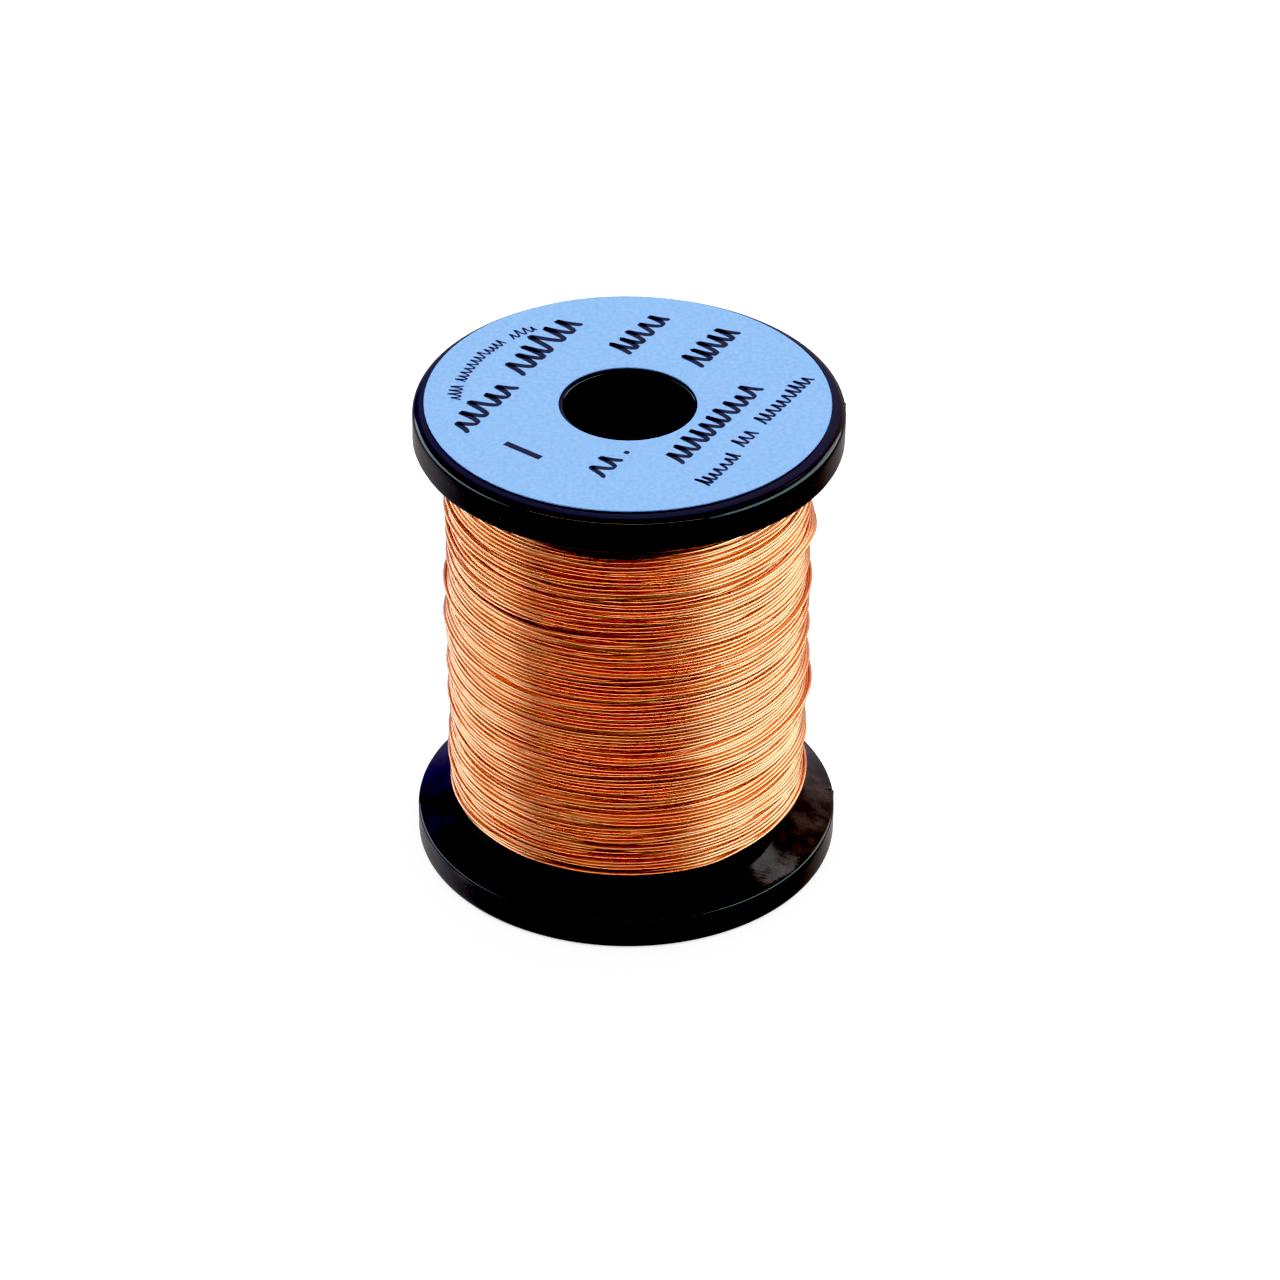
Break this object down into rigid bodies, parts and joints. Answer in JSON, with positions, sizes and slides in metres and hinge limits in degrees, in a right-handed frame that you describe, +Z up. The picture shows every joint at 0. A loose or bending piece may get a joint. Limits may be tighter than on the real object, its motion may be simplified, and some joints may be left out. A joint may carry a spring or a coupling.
{
  "type": "wire spool",
  "caption": "Small moulded spool with two thick flanges and a central bore, wound with soft bare copper wire, with a round paper label on its upper end.",
  "frame": {"origin": "on the spool's axis, in the face of the lower flange that it stands on", "axes": "+Z up along the bore's axis, out of the labelled end; -Y is the front, the side towards the viewer"},
  "size_m": [0.0225, 0.0224, 0.0269],
  "materials": {
    "black_plastic": "glossy moulded",
    "label_paper": "matte",
    "copper_wire": "bright bare copper"
  },
  "bodies": {
    "root": {"spool": "black_plastic", "label": "label_paper", "wire_layer_1": "copper_wire", "wire_layer_2": "copper_wire", "wire_layer_3": "copper_wire", "wire_layer_4": "copper_wire", "wire_layer_5": "copper_wire", "wire_outer_turns": "copper_wire"}
  },
  "joints": []
}
